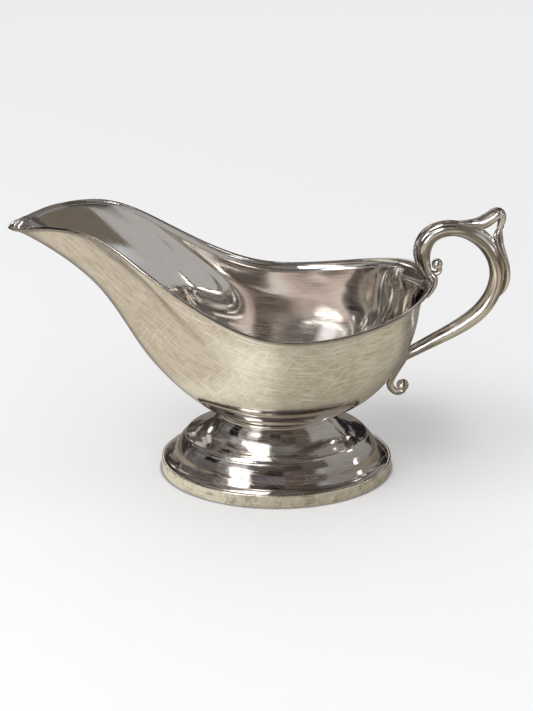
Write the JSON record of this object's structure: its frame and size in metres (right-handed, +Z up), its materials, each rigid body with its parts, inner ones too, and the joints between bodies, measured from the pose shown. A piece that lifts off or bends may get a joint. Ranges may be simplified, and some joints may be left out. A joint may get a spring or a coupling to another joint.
{
  "type": "sauce boat",
  "caption": "Footed silver-plated sauce boat: long pouring spout, turned lip, stepped oval pedestal foot and a cast scroll handle with leaf thumb piece.",
  "frame": {"origin": "on the table, under the middle of the boat's overall length and width", "axes": "+Z up, +X towards the handle, -X towards the spout, +Y across the boat"},
  "size_m": [0.2098, 0.0844, 0.1243],
  "materials": {
    "silver_satin": "worn satin silver plate with fine arc scratches",
    "silver_polished": "bright polished silver plate",
    "silver_cast": "polished cast silver plate, slightly dulled in the grooves"
  },
  "bodies": {
    "root": {"bowl": "silver_satin", "rim_wire": "silver_polished", "neck_collar": "silver_satin", "pedestal": "silver_polished", "foot_band": "silver_satin", "handle_scroll": "silver_cast", "rim_tongue": "silver_cast", "upper_terminal": "silver_cast", "thumb_piece": "silver_cast", "back_leaf": "silver_cast", "lower_terminal": "silver_cast"}
  },
  "joints": []
}
